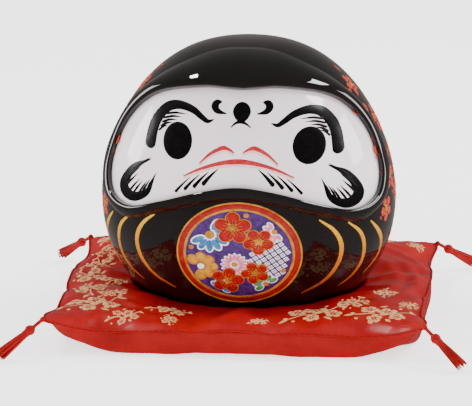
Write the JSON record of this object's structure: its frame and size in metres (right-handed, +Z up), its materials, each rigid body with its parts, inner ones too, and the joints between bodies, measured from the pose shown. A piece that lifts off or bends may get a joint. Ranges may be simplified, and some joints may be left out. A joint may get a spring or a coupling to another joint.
{
  "type": "daruma doll",
  "caption": "Glazed ceramic daruma doll with a raised hood brim, white face and belly roundel, sunk into a square brocade and satin cushion with a tassel at each corner.",
  "frame": {"origin": "middle of the cushion's underside, on the surface it stands on", "axes": "+Z up, the doll faces -Y, +X is on the right of someone looking at its face; the cushion's sides run along X and Y"},
  "size_m": [0.1826, 0.1826, 0.1153],
  "materials": {
    "black_glaze": "gloss",
    "white_glaze": "gloss",
    "red_enamel": "gloss",
    "gold_enamel": "gloss",
    "black_enamel": "gloss",
    "soft_plug": "matte",
    "brocade": "satin",
    "gold_thread": "satin",
    "satin": "satin",
    "wadding": "matte",
    "silk": "satin"
  },
  "bodies": {
    "cushion": {"cushion_bottom_panel": "satin", "cushion_filling": "wadding", "cushion_top_panel": "brocade"},
    "doll": {"doll_shell": "black_glaze", "face_panel": "white_glaze", "belly_medallion": "red_enamel"},
    "stopper": {"base_stopper": "soft_plug"},
    "tassel_front_left": {"tassel_front_left_cord": "silk", "tassel_front_left_binding": "silk", "tassel_front_left_skirt": "silk"},
    "tassel_front_right": {"tassel_front_right_cord": "silk", "tassel_front_right_binding": "silk", "tassel_front_right_skirt": "silk"},
    "tassel_back_left": {"tassel_back_left_cord": "silk", "tassel_back_left_binding": "silk", "tassel_back_left_skirt": "silk"},
    "tassel_back_right": {"tassel_back_right_cord": "silk", "tassel_back_right_binding": "silk", "tassel_back_right_skirt": "silk"}
  },
  "joints": [
    {"name": "doll_lift", "type": "slide", "parent": "cushion", "child": "doll", "axis": [0, 0, 1], "range_m": [0, 0.06]},
    {"name": "stopper_pull", "type": "slide", "parent": "doll", "child": "stopper", "axis": [0, 0, -1], "range_m": [0, 0.012]},
    {"name": "tassel_front_left_swing", "type": "hinge", "parent": "cushion", "child": "tassel_front_left", "pos_m": [-0.075, -0.075, 0.014], "axis": [-0.7071, 0.7071, 0], "range_deg": [0, 100]},
    {"name": "tassel_front_right_swing", "type": "hinge", "parent": "cushion", "child": "tassel_front_right", "pos_m": [0.075, -0.075, 0.014], "axis": [-0.7071, -0.7071, 0], "range_deg": [0, 100]},
    {"name": "tassel_back_left_swing", "type": "hinge", "parent": "cushion", "child": "tassel_back_left", "pos_m": [-0.075, 0.075, 0.014], "axis": [0.7071, 0.7071, 0], "range_deg": [0, 100]},
    {"name": "tassel_back_right_swing", "type": "hinge", "parent": "cushion", "child": "tassel_back_right", "pos_m": [0.075, 0.075, 0.014], "axis": [0.7071, -0.7071, 0], "range_deg": [0, 100]}
  ],
  "couplings": [
    {"joint": "stopper_pull", "follows": "doll_lift", "ratio": 0.2}
  ]
}
